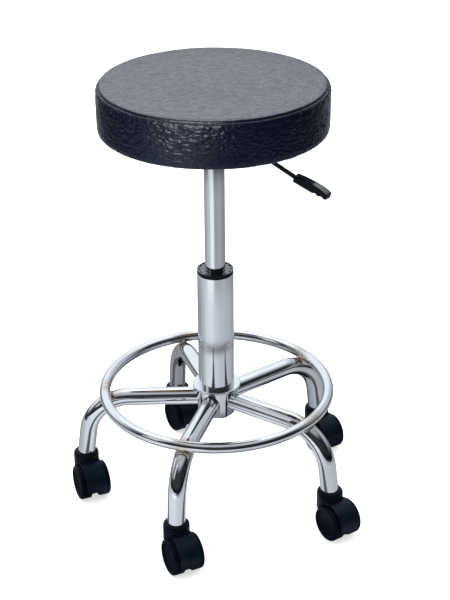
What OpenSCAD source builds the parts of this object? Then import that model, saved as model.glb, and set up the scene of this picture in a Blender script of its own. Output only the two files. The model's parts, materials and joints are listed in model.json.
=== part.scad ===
// Rolling stylist stool: padded round seat on a gas lift, five bent tube legs with a footrest ring,
// and twin-wheel hooded casters. Millimetres, +Z up. The origin is on the floor, on the column's axis.
// The seat stands at the top of its travel, and the legs start at the one that points along -X.

/* [Seat] */
// Radius of the padded seat
seat_r = 151; // [145:0.5:165]
// Thickness of the padded seat, board and cover included
seat_h = 62; // [54:0.5:90]
// Rounding of the seat's top edge
seat_top_round = 4.5; // [3:0.5:12]
// Rounding of the seat's lower edge
seat_low_round = 7; // [3:0.5:10]
// Thickness of the vinyl cover
cover_t = 1.2; // [0.8:0.1:2]
// Thickness of the plywood board
board_t = 15; // [12:0.5:20]

/* [Gas lift] */
// Length of the gas cylinder with its cone
cylinder_len = 270; // [262:1:280]
// Travel of the seat
lift_travel = 130; // [100:1:130]
// Length of the guide bush inside the column
guide_len = 72; // [60:1:72]

/* [Base] */
// Outer radius of a leg tube
leg_r = 12.5; // [12:0.1:12.8]
// Wall of a leg tube
leg_wall = 1.2; // [1:0.1:1.5]
// Height of the straight part of a leg
leg_z = 152.5; // [150:0.5:156]
// Distance from the axis at which a leg starts to bend
leg_bend_start = 123; // [118:0.5:128]
// Radius of the bend, to the middle of the tube
leg_bend_r = 62; // [58:0.5:62]
// Splay of a leg's foot away from vertical
leg_splay = 7.7; // [6:0.1:9]
// Radius of the footrest ring, to the middle of its tube
ring_r = 158; // [154:0.5:162]
// Radius of the footrest ring's tube
ring_tube_r = 7.5; // [6:0.1:8]

/* [Casters] */
// Width of one wheel
wheel_w = 15.4; // [14:0.1:16]
// Distance from the swivel axis to the axle
caster_trail = 20; // [19:0.5:21]
// Direction in which each caster trails, in degrees from +X
caster_heading = [-69, -66, -58, -62, -62];

/* [Lever] */
// Direction of the lever, in degrees from +X
lever_azimuth = -40; // [-180:1:180]
// Radius of the lever's rod
lever_rod_r = 3; // [2.5:0.1:3.2]
// Width of the grip
grip_w = 11; // [9:0.5:14]

/* [Hidden] */
$fn = 96;
eps = 0.01;
run_gap = 0.05;          // radial clearance of a running fit
nudge = 1;               // how far a cutter runs past the face it cuts

// Standard sizes that the stool is built round
leg_count = 5;
column_r = 25;           // column tube of a gas lift
cylinder_r = 14;         // its sliding cylinder
wheel_r = 25;            // 50 mm twin-wheel caster

// Column tube: a taper that wedges in the hub, and a straight tube above it
column_bottom_z = leg_z - 24.5;
hub_top_z = leg_z + 21.5;
column_bore_r = 23.3;
taper_low_r = 23;
taper_high_r = 24.2;
taper_wall = 1.8;
hub_r = 25.8;            // outside of the socket that the taper sits in

// Thrust bearing and rubber buffer, stacked on the column's bottom plate
plate_t = 3;
bottom_plate_r = 21.1;
race_t = 1.5;
race_r = 11.5;
race_loose = 0.6;        // room between the lower race and the rod
ball_r = 1.5;
ball_pitch_r = 8.9;
ball_count = 12;
cage_t = 1.4;
cage_in_r = 6.6;
cage_out_r = 11.2;
buffer_h = 6.5;
ball_z = column_bottom_z + plate_t + race_t + ball_r;
upper_race_z = ball_z + ball_r;
buffer_z = upper_race_z + race_t;

// Gas spring. Fully lowered, its cylinder stops just above the buffer.
lowered_gap = 1.5;
cylinder_bottom_z = buffer_z + buffer_h + lowered_gap + lift_travel;
cylinder_top_z = cylinder_bottom_z + cylinder_len;
column_top_z = cylinder_bottom_z + guide_len;
cone_len = 39;
cone_top_r = 13;
cylinder_bore_r = 12;
pressure_r = 11.4;       // outside of the inner pressure tube
pressure_wall = 0.6;
rod_guide_len = 21;
valve_z = cylinder_top_z - 67;
valve_len = 22;
valve_floor = 3.5;
pin_r = 4;
pin_sink = 7;            // depth of the pin's foot in the valve body
pin_rise = 3;            // height of the pin above the cylinder
rod_r = 5;
rod_end_drop = 4.2;      // how far the rod reaches below the column
clip_groove_r = 4.2;
clip_groove_h = 1.2;
clip_groove_z = column_bottom_z - 3.2;
piston_z = cylinder_bottom_z + rod_guide_len + 1;
piston_core_r = 3.5;
piston_len = 7.5;

// Seat and seat plate
seat_z = cylinder_top_z + 12;
seat_top_z = seat_z + seat_h;
board_z = seat_z + cover_t;
board_top_z = board_z + board_t;
wrap_r = 120;            // inner radius of the cover's turned-in edge
plate_sheet = 2.5;
plate_half = 75;
plate_corner_r = 12;
bolt_xy = 60;
pan_half = 44.5;
pan_floor_z = cylinder_top_z - 4;
plate_z = board_z - plate_sheet;
socket_r = 17;
socket_bottom_z = cylinder_top_z - 37;
m6_r = 2.95;
m6_washer_r = 7;
m6_washer_bore_r = 3.2;
m6_head_across = 10;
tee_barrel_r = 4.5;
tee_flange_r = 10;
tee_flange_t = 1.5;
staple_count = 24;
staple_r = 133;

// Lever, measured in its own upright plane: distance from the column's axis and height
lever_pivot = [34, cylinder_top_z + 6];
lever_kink = [131, cylinder_top_z - 26.2];
lever_grip_slope = 12;
lever_boss_r = 5.5;
lever_boss_half = 9.5;
lever_pin_r = 3;
tang_r = 2.4;            // the rod's thinner end, inside the grip
tang_len = 42;
tang_root = 3;           // how far the tang starts inside the rod
ear_gap_half = 10;

// Footrest ring: it lies on top of the bends
bend_centre_z = leg_z - leg_bend_r;
leg_bend_angle = 90 - leg_splay;
ring_lift = 0.1;
ring_reach = leg_bend_r + leg_r + ring_tube_r + ring_lift;
ring_z = bend_centre_z + sqrt(pow(ring_reach, 2) - pow(ring_r - leg_bend_start, 2));
weld_angle = asin((ring_r - leg_bend_start) / ring_reach);
vent_angle = 55;

// Foot of a leg, where the tube ends in its socket
foot_z = 62.5;
arc_end = [
    leg_bend_start + leg_bend_r * sin(leg_bend_angle),
    bend_centre_z + leg_bend_r * cos(leg_bend_angle)
];
foot_len = (arc_end[1] - foot_z) / cos(leg_splay);
foot = [arc_end[0] + foot_len * sin(leg_splay), foot_z];
swivel_r = round(2 * (foot[0] + 0.6)) / 2;
cup_r = 18;
cup_bottom_z = 57.3;
cup_top_z = 64.4;
cup_round = 4.8;
plug_len = 22;
plug_gap = 0.02;         // clearance of the plug in the tube
vent_r = 3.4;
stem_r = 5.5;
stem_top_z = 83;
stem_pin_r = 4;
stem_bottom_z = 36;
collar_r = 8;
collar_t = 2.5;
grip_ring_z = 76;
grip_groove_r = 4.6;
grip_groove_h = 2;

// Caster
neck_top_z = 56.8;
fender_r = wheel_r + 3.5;
fender_half = 15;
web_half = 6.2;
wheel_gap_half = web_half + 0.3;
wheel_room_r = wheel_r + 1;
fender_floor_z = 19.5;
axle_r = 3;
wheel_pocket = 10.8;     // depth of the hollow in a wheel's inner side
axle_half = wheel_gap_half + wheel_pocket;

function leg_azimuth(k) = 180 + 360 * k / leg_count;

// ---- Shared shapes ----

// Tube or ring standing on z
module ring(outer_r, inner_r, z, h) {
    translate([0, 0, z]) difference() {
        cylinder(r = outer_r, h = h);
        translate([0, 0, -nudge]) cylinder(r = inner_r, h = h + 2 * nudge);
    }
}

// Cylinder along X from x0, with its axis at height z
module bar_x(r, x0, x1, z) {
    translate([x0, 0, z]) rotate([0, 90, 0]) cylinder(r = r, h = x1 - x0);
}

// Cylinder along Y between two values of y, with its axis at [x, z]
module bar_y(r, x, z, y0, y1) {
    translate([x, y1, z]) rotate([90, 0, 0]) cylinder(r = r, h = y1 - y0);
}

// Stands children at every leg
module at_each_leg() {
    for (k = [0:leg_count - 1]) rotate([0, 0, leg_azimuth(k)]) children();
}

// Repeats children round the axis
module around(count) {
    for (i = [0:count - 1]) rotate([0, 0, 360 * i / count]) children();
}

// Square plate with round corners
module round_plate(half, corner_r, z, h) {
    translate([0, 0, z]) linear_extrude(h) union() {
        square([2 * half, 2 * (half - corner_r)], center = true);
        square([2 * (half - corner_r), 2 * half], center = true);
        for (sx = [-1, 1], sy = [-1, 1]) {
            translate([sx * (half - corner_r), sy * (half - corner_r)]) circle(r = corner_r);
        }
    }
}

// Stands children at the four bolts of the seat plate
module at_bolts() {
    rotate([0, 0, lever_azimuth]) for (sx = [-1, 1], sy = [-1, 1]) {
        translate([sx * bolt_xy, sy * bolt_xy, 0]) children();
    }
}

// Turns children's XZ plane into the lever's upright plane
module in_lever_plane() {
    rotate([0, 0, lever_azimuth]) children();
}

// ---- Seat ----

// Half section of the pad, shrunk by inset on every side
module pad_section(inset) {
    r = seat_r - inset;
    low = seat_z + inset;
    top = seat_top_z - inset;
    top_round = seat_top_round - inset;
    low_round = seat_low_round - inset;
    union() {
        translate([0, low]) square([r - low_round, top - low - top_round]);
        translate([0, low + low_round]) square([r, top - low - low_round - top_round]);
        translate([0, top - low_round]) square([r - top_round, low_round]);
        translate([r - top_round, top - top_round]) circle(r = top_round);
        translate([r - low_round, low + low_round]) circle(r = low_round);
    }
}

// The room inside the cover between two heights
module pad_core(z0, z1) {
    rotate_extrude() intersection() {
        pad_section(cover_t);
        translate([0, z0]) square([seat_r, z1 - z0]);
    }
}

module seat_cover() {
    color("#1b1c20") difference() {
        rotate_extrude() pad_section(0);
        rotate_extrude() pad_section(cover_t);
        translate([0, 0, seat_z - nudge]) cylinder(r = wrap_r, h = cover_t + 2 * nudge);
    }
}

module seat_foam() {
    color("#d8cfa8") pad_core(board_top_z, seat_top_z);
}

module seat_board() {
    color("#c79f67") difference() {
        pad_core(seat_z, board_top_z);
        at_bolts() {
            translate([0, 0, board_z - nudge]) cylinder(r = tee_barrel_r, h = board_t + 2 * nudge);
            translate([0, 0, board_top_z - tee_flange_t]) {
                cylinder(r = tee_flange_r, h = tee_flange_t + nudge);
            }
        }
    }
}

// Wire staples: a crown under the cover's edge and two legs up into the board
module cover_staples() {
    crown_w = 10;
    wire = 0.7;
    leg_h = 9;
    color("#b8bcc2") around(staple_count) translate([staple_r, 0, seat_z - wire]) {
        translate([-wire / 2, -crown_w / 2, 0]) cube([wire, crown_w, wire]);
        for (y = [-crown_w / 2, crown_w / 2 - wire]) {
            translate([-wire / 2, y, 0]) cube([wire, wire, leg_h]);
        }
    }
}

module tee_nuts() {
    color("#c9c5b4") at_bolts() difference() {
        union() {
            translate([0, 0, board_z + plate_sheet]) cylinder(r = tee_barrel_r, h = board_t - plate_sheet);
            translate([0, 0, board_top_z - tee_flange_t]) cylinder(r = tee_flange_r, h = tee_flange_t);
        }
        translate([0, 0, board_z]) cylinder(r = m6_r + run_gap, h = board_t + nudge);
    }
}

// Hex bolts with washers, up through the seat plate into the tee nuts
module plate_bolts() {
    washer_t = 1.2;
    head_h = 4;
    head_z = plate_z - washer_t - head_h;
    shank_len = 17;
    color("#9aa0a8") at_bolts() {
        ring(m6_washer_r, m6_washer_bore_r, plate_z - washer_t, washer_t);
        translate([0, 0, head_z]) cylinder(r = m6_head_across / 2 / cos(30), h = head_h, $fn = 6);
        translate([0, 0, head_z + head_h]) cylinder(r = m6_r, h = shank_len);
    }
}

// Pressed plate with a square pan, two upright ears for the lever and a slot for its rod
module seat_plate() {
    pan_in = pan_half - plate_sheet;
    slot_w = 16;
    ear_len = 14;
    ear_top_gap = 0.3;
    pin_reach = ear_gap_half + 2 * plate_sheet;
    color("#2a2b2e") in_lever_plane() difference() {
        union() {
            round_plate(plate_half, plate_corner_r, plate_z, plate_sheet);
            translate([-pan_half, -pan_half, pan_floor_z]) {
                cube([2 * pan_half, 2 * pan_half, board_z - pan_floor_z]);
            }
        }
        difference() {
            translate([-pan_in, -pan_in, pan_floor_z + plate_sheet]) {
                cube([2 * pan_in, 2 * pan_in, board_z - pan_floor_z]);
            }
            for (y = [-ear_gap_half - plate_sheet, ear_gap_half]) {
                translate([lever_pivot[0] - ear_len / 2, y, pan_floor_z]) {
                    cube([ear_len, plate_sheet, board_z - pan_floor_z - ear_top_gap]);
                }
            }
        }
        translate([0, 0, pan_floor_z - nudge]) cylinder(r = socket_r, h = plate_sheet + 2 * nudge);
        bar_y(lever_pin_r, lever_pivot[0], lever_pivot[1], -pin_reach, pin_reach);
        translate([pan_in - nudge, -slot_w / 2, pan_floor_z + plate_sheet]) {
            cube([plate_sheet + 2 * nudge, slot_w, plate_z - pan_floor_z - plate_sheet]);
        }
        for (sx = [-1, 1], sy = [-1, 1]) translate([sx * bolt_xy, sy * bolt_xy, plate_z - nudge]) {
            cylinder(r = m6_washer_bore_r, h = plate_sheet + 2 * nudge);
        }
    }
}

// Locking cone at the top of the gas cylinder
module cylinder_cone() {
    translate([0, 0, cylinder_top_z - cone_len]) cylinder(r1 = cylinder_r, r2 = cone_top_r, h = cone_len);
}

module cone_socket() {
    chamfer = 1.5;
    color("#3a3c40") difference() {
        union() {
            translate([0, 0, socket_bottom_z]) cylinder(r1 = socket_r - chamfer, r2 = socket_r, h = chamfer);
            translate([0, 0, socket_bottom_z + chamfer]) {
                cylinder(r = socket_r, h = pan_floor_z + plate_sheet - socket_bottom_z - chamfer);
            }
        }
        cylinder_cone();
    }
}

module lever_pivot_pin() {
    half = ear_gap_half + plate_sheet;
    head_t = 1.5;
    head_lip = 1.2;
    color("#8d9299") in_lever_plane() {
        bar_y(lever_pin_r, lever_pivot[0], lever_pivot[1], -half - head_t, half + head_t);
        bar_y(lever_pin_r + head_lip, lever_pivot[0], lever_pivot[1], half, half + head_t);
    }
}

// ---- Gas spring ----

module gas_cylinder() {
    straight_len = cylinder_len - cone_len;
    color("#c4c7cb") difference() {
        union() {
            translate([0, 0, cylinder_bottom_z]) cylinder(r = cylinder_r, h = straight_len);
            cylinder_cone();
        }
        translate([0, 0, cylinder_bottom_z - nudge]) {
            cylinder(r = cylinder_bore_r, h = valve_z + valve_len - cylinder_bottom_z + nudge);
        }
        translate([0, 0, valve_z]) cylinder(r = pin_r + run_gap, h = cylinder_top_z - valve_z + nudge);
    }
}

module pressure_tube() {
    base_z = cylinder_bottom_z + rod_guide_len;
    color("#aeb3b8") ring(pressure_r, pressure_r - pressure_wall, base_z, valve_z - base_z);
}

module rod_guide() {
    color("#303236") ring(cylinder_bore_r, rod_r + run_gap, cylinder_bottom_z, rod_guide_len);
}

module valve_body() {
    color("#b59a4a") difference() {
        translate([0, 0, valve_z]) cylinder(r = cylinder_bore_r, h = valve_len);
        translate([0, 0, valve_z + valve_floor]) cylinder(r = pin_r + run_gap, h = valve_len);
    }
}

module valve_pin() {
    dome = 1;
    low_z = valve_z + pin_sink;
    high_z = cylinder_top_z + pin_rise;
    color("#d0d2d4") {
        translate([0, 0, low_z]) cylinder(r = pin_r, h = high_z - low_z);
        translate([0, 0, high_z]) cylinder(r1 = pin_r, r2 = pin_r - dome, h = dome);
    }
}

module piston_rod() {
    low_z = column_bottom_z - rod_end_drop;
    color("#d7d9db") difference() {
        union() {
            translate([0, 0, low_z]) cylinder(r = rod_r, h = piston_z - low_z);
            translate([0, 0, piston_z]) cylinder(r = piston_core_r, h = piston_len);
        }
        ring(rod_r + nudge, clip_groove_r, clip_groove_z, clip_groove_h);
    }
}

module piston() {
    seal_groove_r = 9.3;
    seal_groove_h = 2;
    seal_groove_z = piston_z + (piston_len - seal_groove_h) / 2;
    color("#4a4c50") difference() {
        ring(pressure_r - pressure_wall - run_gap, piston_core_r, piston_z, piston_len);
        ring(pressure_r, seal_groove_r, seal_groove_z, seal_groove_h);
    }
}

module upper_race() {
    color("#a7abb0") ring(race_r, rod_r + run_gap, upper_race_z, race_t);
}

module rubber_buffer() {
    waist_r = 1.9;
    waist_x = race_r + 0.7;
    color("#151515") difference() {
        ring(race_r - 0.5, rod_r + run_gap, buffer_z, buffer_h);
        translate([0, 0, buffer_z + buffer_h / 2]) {
            rotate_extrude() translate([waist_x, 0]) circle(r = waist_r);
        }
    }
}

// Washer and C clip that hold the rod under the bottom plate
module rod_clip() {
    washer_r = 10;
    washer_t = 1.8;
    clip_r = 8.5;
    clip_t = 1.1;
    clip_gap = 6;
    clip_z = clip_groove_z + run_gap;
    color("#6c7076") {
        ring(washer_r, rod_r + run_gap, clip_z + clip_t + 2 * run_gap, washer_t);
        difference() {
            ring(clip_r, clip_groove_r + run_gap, clip_z, clip_t);
            translate([0, -clip_gap / 2, clip_z - nudge]) cube([washer_r, clip_gap, clip_t + 2 * nudge]);
        }
    }
}

// ---- Column and base ----

// Taper at the foot of the column, which wedges in the hub socket
module column_taper() {
    translate([0, 0, column_bottom_z]) {
        cylinder(r1 = taper_low_r, r2 = taper_high_r, h = hub_top_z - column_bottom_z);
    }
}

module column_tube() {
    edge = 0.6;
    taper_h = hub_top_z - column_bottom_z;
    color("#cfd2d8") difference() {
        union() {
            column_taper();
            translate([0, 0, hub_top_z]) cylinder(r = column_r, h = column_top_z - hub_top_z - edge);
            translate([0, 0, column_top_z - edge]) cylinder(r1 = column_r, r2 = column_r - edge, h = edge);
        }
        translate([0, 0, column_bottom_z - eps]) {
            cylinder(r1 = taper_low_r - taper_wall, r2 = taper_high_r - taper_wall, h = taper_h + eps);
        }
        translate([0, 0, hub_top_z - eps]) cylinder(r = column_bore_r, h = column_top_z);
    }
}

// Plastic bush with a flange that covers the column's top edge, cored from above
module guide_bush() {
    flange_h = 5.6;
    flange_top = column_top_z + flange_h;
    foot_gap = 2;
    rim_w = 1.4;
    rim_h = 0.8;
    gap_r = cylinder_r + 0.7;
    gap_h = 1.4;
    slot_count = 14;
    slot_x = 20.6;
    slot_len = 1.9;
    slot_w = 5;
    slot_h = 20;
    color("#17181b") difference() {
        union() {
            ring(column_bore_r, cylinder_r + run_gap, cylinder_bottom_z + foot_gap, guide_len - foot_gap);
            ring(column_r, cylinder_r + run_gap, column_top_z, flange_h);
        }
        ring(column_r - rim_w, gap_r, flange_top - rim_h, rim_h + nudge);
        translate([0, 0, flange_top - gap_h]) cylinder(r = gap_r, h = gap_h + nudge);
        around(slot_count) translate([slot_x, -slot_w / 2, flange_top - slot_h]) {
            cube([slot_len, slot_w, slot_h + nudge]);
        }
    }
}

module bottom_plate() {
    color("#8a8d92") ring(bottom_plate_r, rod_r + run_gap, column_bottom_z, plate_t);
}

module lower_race() {
    color("#a7abb0") ring(race_r, rod_r + race_loose, column_bottom_z + plate_t, race_t);
}

module ball_cage() {
    color("#c4a35a") difference() {
        ring(cage_out_r, cage_in_r, ball_z - cage_t / 2, cage_t);
        around(ball_count) translate([ball_pitch_r, 0, ball_z - cage_t]) {
            cylinder(r = ball_r + run_gap, h = 2 * cage_t);
        }
    }
}

module thrust_balls() {
    color("#e2e4e6") around(ball_count) translate([ball_pitch_r, 0, ball_z]) sphere(r = ball_r);
}

module hub_socket() {
    low_z = column_bottom_z + 1;
    high_z = hub_top_z - 4;
    color("#b5b8bd") difference() {
        translate([0, 0, low_z]) cylinder(r = hub_r, h = high_z - low_z);
        column_taper();
    }
}

// Flange and skirt round the hub, with an arch over each leg
module hub_shroud() {
    flange_r = 34;
    flange_t = 4;
    edge = 1.5;
    skirt_out = 29.8;
    skirt_in = 28.2;
    skirt_low = leg_z - 21.5;
    arch_r = leg_r + 0.4;
    arch_x = skirt_in - 3;
    arch_len = 8;
    color("#cfd2d8") difference() {
        union() {
            translate([0, 0, hub_top_z - flange_t]) rotate_extrude() union() {
                square([flange_r - edge, flange_t]);
                translate([0, edge]) square([flange_r, flange_t - 2 * edge]);
                translate([flange_r - edge, edge]) circle(r = edge);
                translate([flange_r - edge, flange_t - edge]) circle(r = edge);
            }
            translate([0, 0, skirt_low]) cylinder(r = skirt_out, h = hub_top_z - skirt_low - edge);
        }
        translate([0, 0, skirt_low - nudge]) {
            cylinder(r = skirt_in, h = hub_top_z - flange_t - skirt_low + nudge);
        }
        column_taper();
        at_each_leg() {
            bar_x(arch_r, arch_x, arch_x + arch_len, leg_z);
            translate([arch_x, -arch_r, skirt_low - nudge]) {
                cube([arch_len, 2 * arch_r, leg_z - skirt_low + nudge]);
            }
        }
    }
}

// Solid bar along a leg's path: straight out, round the bend and down to the foot. The foot laps the
// bend a little and is thinner or thicker than it by a small step, so that both stretches join as one
// solid.
module leg_path(r, x0, extra, step) {
    lap = 0.5;
    bar_x(r, x0, leg_bend_start, leg_z);
    translate([leg_bend_start, 0, bend_centre_z]) rotate([90, 0, 0]) {
        rotate_extrude(angle = leg_bend_angle, start = leg_splay) {
            translate([leg_bend_r, 0]) circle(r = r);
        }
    }
    translate([arc_end[0], 0, arc_end[1]]) rotate([0, 180 - leg_splay, 0]) translate([0, 0, -lap]) {
        cylinder(r = r + step, h = foot_len + lap + extra);
    }
}

// Tube coped to the hub socket, with a plating vent on the inside of the bend
module leg(k) {
    start_x = 20;
    foot_step = 0.05;
    cope_r = hub_r + run_gap;
    color("#cfd2d8") rotate([0, 0, leg_azimuth(k)]) difference() {
        leg_path(leg_r, start_x, 0, -foot_step);
        leg_path(leg_r - leg_wall, start_x - nudge, nudge, foot_step);
        translate([0, 0, leg_z - 2 * leg_r]) cylinder(r = cope_r, h = 4 * leg_r);
        translate([leg_bend_start, 0, bend_centre_z]) rotate([0, vent_angle, 0]) {
            cylinder(r = vent_r, h = leg_bend_r - leg_r / 2);
        }
    }
}

module footrest_ring() {
    color("#cfd2d8") rotate_extrude() translate([ring_r, ring_z]) difference() {
        circle(r = ring_tube_r);
        circle(r = ring_tube_r - leg_wall);
    }
}

// Bead between the ring and a leg, without the room that the two tubes take
module weld_bead() {
    weld_r = 6;
    reach = leg_bend_r + leg_r;
    difference() {
        translate([leg_bend_start + reach * sin(weld_angle), 0, bend_centre_z + reach * cos(weld_angle)]) {
            sphere(r = weld_r);
        }
        translate([leg_bend_start, 0, bend_centre_z]) rotate([90, 0, 0]) {
            rotate_extrude() translate([leg_bend_r, 0]) circle(r = leg_r);
        }
        rotate_extrude() translate([ring_r, ring_z]) circle(r = ring_tube_r);
    }
}

module ring_welds() {
    color("#b9b2a6") at_each_leg() weld_bead();
}

// Moulded socket at the foot of a leg: a collar, and a plug along the tube. Its bore is upright, so
// the caster swivels about a vertical axis although the leg is splayed.
module leg_socket() {
    cup_h = cup_top_z - cup_bottom_z;
    difference() {
        union() {
            translate([swivel_r, 0, cup_bottom_z]) rotate_extrude() intersection() {
                union() {
                    square([cup_r - cup_round, cup_h]);
                    square([cup_r, cup_h - cup_round]);
                    translate([cup_r - cup_round, cup_h - cup_round]) circle(r = cup_round);
                }
                square([cup_r + nudge, cup_h + nudge]);
            }
            translate([foot[0], 0, foot[1]]) rotate([0, -leg_splay, 0]) {
                cylinder(r = leg_r - leg_wall - plug_gap, h = plug_len);
            }
        }
        translate([foot[0], 0, foot[1]]) rotate([0, -leg_splay, 0]) {
            ring(leg_r + plug_gap, leg_r - leg_wall - plug_gap, 0, plug_len);
        }
        translate([swivel_r, 0, cup_bottom_z - nudge]) {
            cylinder(r = stem_r, h = stem_top_z - cup_bottom_z + 1.5 * nudge);
        }
    }
}

module leg_sockets() {
    color("#141519") at_each_leg() leg_socket();
}

module caster_stems() {
    tip = 1.5;
    color("#b9bdc3") at_each_leg() translate([swivel_r, 0, 0]) difference() {
        union() {
            translate([0, 0, stem_bottom_z]) cylinder(r = stem_pin_r, h = cup_bottom_z - stem_bottom_z);
            translate([0, 0, cup_bottom_z - collar_t]) cylinder(r = collar_r, h = collar_t);
            translate([0, 0, cup_bottom_z]) cylinder(r = stem_r, h = stem_top_z - cup_bottom_z - tip);
            translate([0, 0, stem_top_z - tip]) cylinder(r1 = stem_r, r2 = stem_r - tip, h = tip);
        }
        ring(stem_r + nudge, grip_groove_r, grip_ring_z, grip_groove_h);
    }
}

// Split spring ring in each stem's groove, sprung out against the socket's bore
module grip_rings() {
    split = 3;
    color("#8f949b") at_each_leg() translate([swivel_r, 0, 0]) difference() {
        ring(stem_r, grip_groove_r + 2 * run_gap, grip_ring_z + 2 * run_gap, grip_groove_h - 4 * run_gap);
        translate([0, -split / 2, grip_ring_z]) cube([2 * stem_r, split, grip_groove_h]);
    }
}

// ---- Lever ----

// The rod's thinner end, which the grip is moulded on
module lever_tang() {
    translate([lever_kink[0], 0, lever_kink[1]]) rotate([0, 90 + lever_grip_slope, 0]) {
        translate([0, 0, -tang_root]) cylinder(r = tang_r, h = tang_root + tang_len);
    }
}

// Blade over the valve pin, boss on the pivot and round rod out to the grip
module lever_rod() {
    run = lever_kink[0] - lever_pivot[0];
    drop = lever_pivot[1] - lever_kink[1];
    rod_past_kink = 0.6;
    blade_half = 6;
    blade_t = 3;
    blade_reach = 7;
    blade_z = cylinder_top_z + pin_rise + 1.3;
    bore_half = 2 * lever_boss_half;
    color("#1d1e21") in_lever_plane() difference() {
        union() {
            bar_y(lever_boss_r, lever_pivot[0], lever_pivot[1], -lever_boss_half, lever_boss_half);
            translate([-blade_reach, -blade_half, blade_z]) {
                cube([lever_pivot[0] + blade_reach, 2 * blade_half, blade_t]);
            }
            translate([lever_pivot[0], 0, lever_pivot[1]]) rotate([0, 90 + atan2(drop, run), 0]) {
                cylinder(r = lever_rod_r, h = norm([run, drop]) + rod_past_kink);
            }
            lever_tang();
        }
        bar_y(lever_pin_r + run_gap, lever_pivot[0], lever_pivot[1], -bore_half, bore_half);
    }
}

// Grip with a crowned back and two finger scallops, drawn along the rod from its collar
module grip_outline() {
    scallop_r = 4;
    scallop_y = -8.7;
    difference() {
        polygon([
            [1, -4.8],
            [1, 4.8],
            [6, 5.2],
            [18, 6],
            [30, 6.2],
            [42, 5.4],
            [50, 3.8],
            [54, 2],
            [53, -6.2],
            [30, -6.1]
        ]);
        for (x = [36, 45.5]) translate([x, scallop_y]) circle(r = scallop_r);
    }
}

module lever_grip() {
    color("#17181b") in_lever_plane() difference() {
        translate([lever_kink[0], 0, lever_kink[1]]) rotate([0, lever_grip_slope, 0]) rotate([90, 0, 0]) {
            linear_extrude(grip_w, center = true) grip_outline();
        }
        lever_tang();
    }
}

// ---- Casters ----

// Stands a caster, drawn trailing along +X from its swivel axis, at the foot of leg k
module at_caster(k) {
    rotate([0, 0, leg_azimuth(k)]) translate([swivel_r, 0, 0]) {
        rotate([0, 0, caster_heading[k] - leg_azimuth(k)]) children();
    }
}

// Neck, centre web and fender in one moulding
module caster_hood(k) {
    neck_r = 18;
    neck_low_z = 24;
    neck_full_z = 36;
    neck_edge = 1;
    stem_clear = 0.5;
    collar_clear = 0.3;
    color("#1e2026") at_caster(k) difference() {
        union() {
            bar_y(fender_r, caster_trail, wheel_r, -fender_half, fender_half);
            translate([0, 0, neck_low_z]) {
                cylinder(r1 = neck_r / 2, r2 = neck_r, h = neck_full_z - neck_low_z);
            }
            translate([0, 0, neck_full_z]) cylinder(r = neck_r, h = neck_top_z - neck_full_z - neck_edge);
            translate([0, 0, neck_top_z - neck_edge]) {
                cylinder(r1 = neck_r, r2 = neck_r - neck_edge, h = neck_edge);
            }
        }
        for (side = [-1, 1]) {
            far = side * (2 * wheel_w + web_half);
            low_y = min(side * web_half, far);
            bar_y(wheel_room_r, caster_trail, wheel_r, low_y, low_y + 2 * wheel_w);
            translate([-neck_r - nudge, low_y, -nudge]) {
                cube([neck_r + nudge, 2 * wheel_w, neck_full_z + nudge]);
            }
        }
        translate([-neck_r, -2 * neck_r, -fender_r]) {
            cube([6 * neck_r, 4 * neck_r, fender_floor_z + fender_r]);
        }
        translate([0, 0, stem_bottom_z - stem_clear]) cylinder(r = stem_pin_r + run_gap, h = neck_top_z);
        translate([0, 0, cup_bottom_z - collar_t - run_gap]) {
            cylinder(r = collar_r + collar_clear, h = neck_top_z);
        }
        bar_y(axle_r, caster_trail, wheel_r, -fender_half, fender_half);
    }
}

module caster_axle(k) {
    color("#b9bdc3") at_caster(k) bar_y(axle_r, caster_trail, wheel_r, -axle_half, axle_half);
}

// Half section of a wheel: radius against distance from its inner face
module wheel_section() {
    outer_round = 3;
    inner_round = 1;
    boss_r = 7;
    rim_in = 21.2;
    axle_room = 0.2;
    dish_r = 18;
    dish_edge = 20.4;
    dish_depth = 2.4;
    dish_step = 1.8;
    difference() {
        union() {
            square([wheel_r - outer_round, wheel_w]);
            translate([0, inner_round]) square([wheel_r, wheel_w - inner_round - outer_round]);
            translate([wheel_r - outer_round, wheel_w - outer_round]) circle(r = outer_round);
            translate([wheel_r - inner_round, inner_round]) circle(r = inner_round);
        }
        translate([boss_r, -nudge]) square([rim_in - boss_r, wheel_pocket + nudge]);
        translate([-nudge, -nudge]) square([axle_r + run_gap + nudge, wheel_pocket + axle_room + nudge]);
        polygon([
            [-nudge, wheel_w - dish_depth],
            [dish_r - 8, wheel_w - dish_depth],
            [dish_r, wheel_w - dish_step],
            [dish_edge, wheel_w + eps],
            [-nudge, wheel_w + eps]
        ]);
    }
}

module wheel(k, side) {
    color("#202229") at_caster(k) translate([caster_trail, side * wheel_gap_half, wheel_r]) {
        rotate([-90 * side, 0, 0]) rotate_extrude() intersection() {
            wheel_section();
            square([wheel_r + nudge, wheel_w + nudge]);
        }
    }
}

seat_cover();
seat_foam();
seat_board();
cover_staples();
tee_nuts();
plate_bolts();
seat_plate();
cone_socket();
lever_pivot_pin();
gas_cylinder();
pressure_tube();
rod_guide();
valve_body();
valve_pin();
lever_rod();
lever_grip();
piston_rod();
piston();
upper_race();
rubber_buffer();
rod_clip();
column_tube();
guide_bush();
bottom_plate();
lower_race();
ball_cage();
thrust_balls();
hub_socket();
hub_shroud();
footrest_ring();
ring_welds();
leg_sockets();
grip_rings();
caster_stems();
for (k = [1:leg_count]) {
    leg(k - 1);
    caster_hood(k - 1);
    caster_axle(k - 1);
    wheel(k - 1, 1);
    wheel(k - 1, -1);
}
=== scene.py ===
import json
import math

import bmesh
import bpy
import numpy as np
from mathutils import Matrix, Vector, noise


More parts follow.
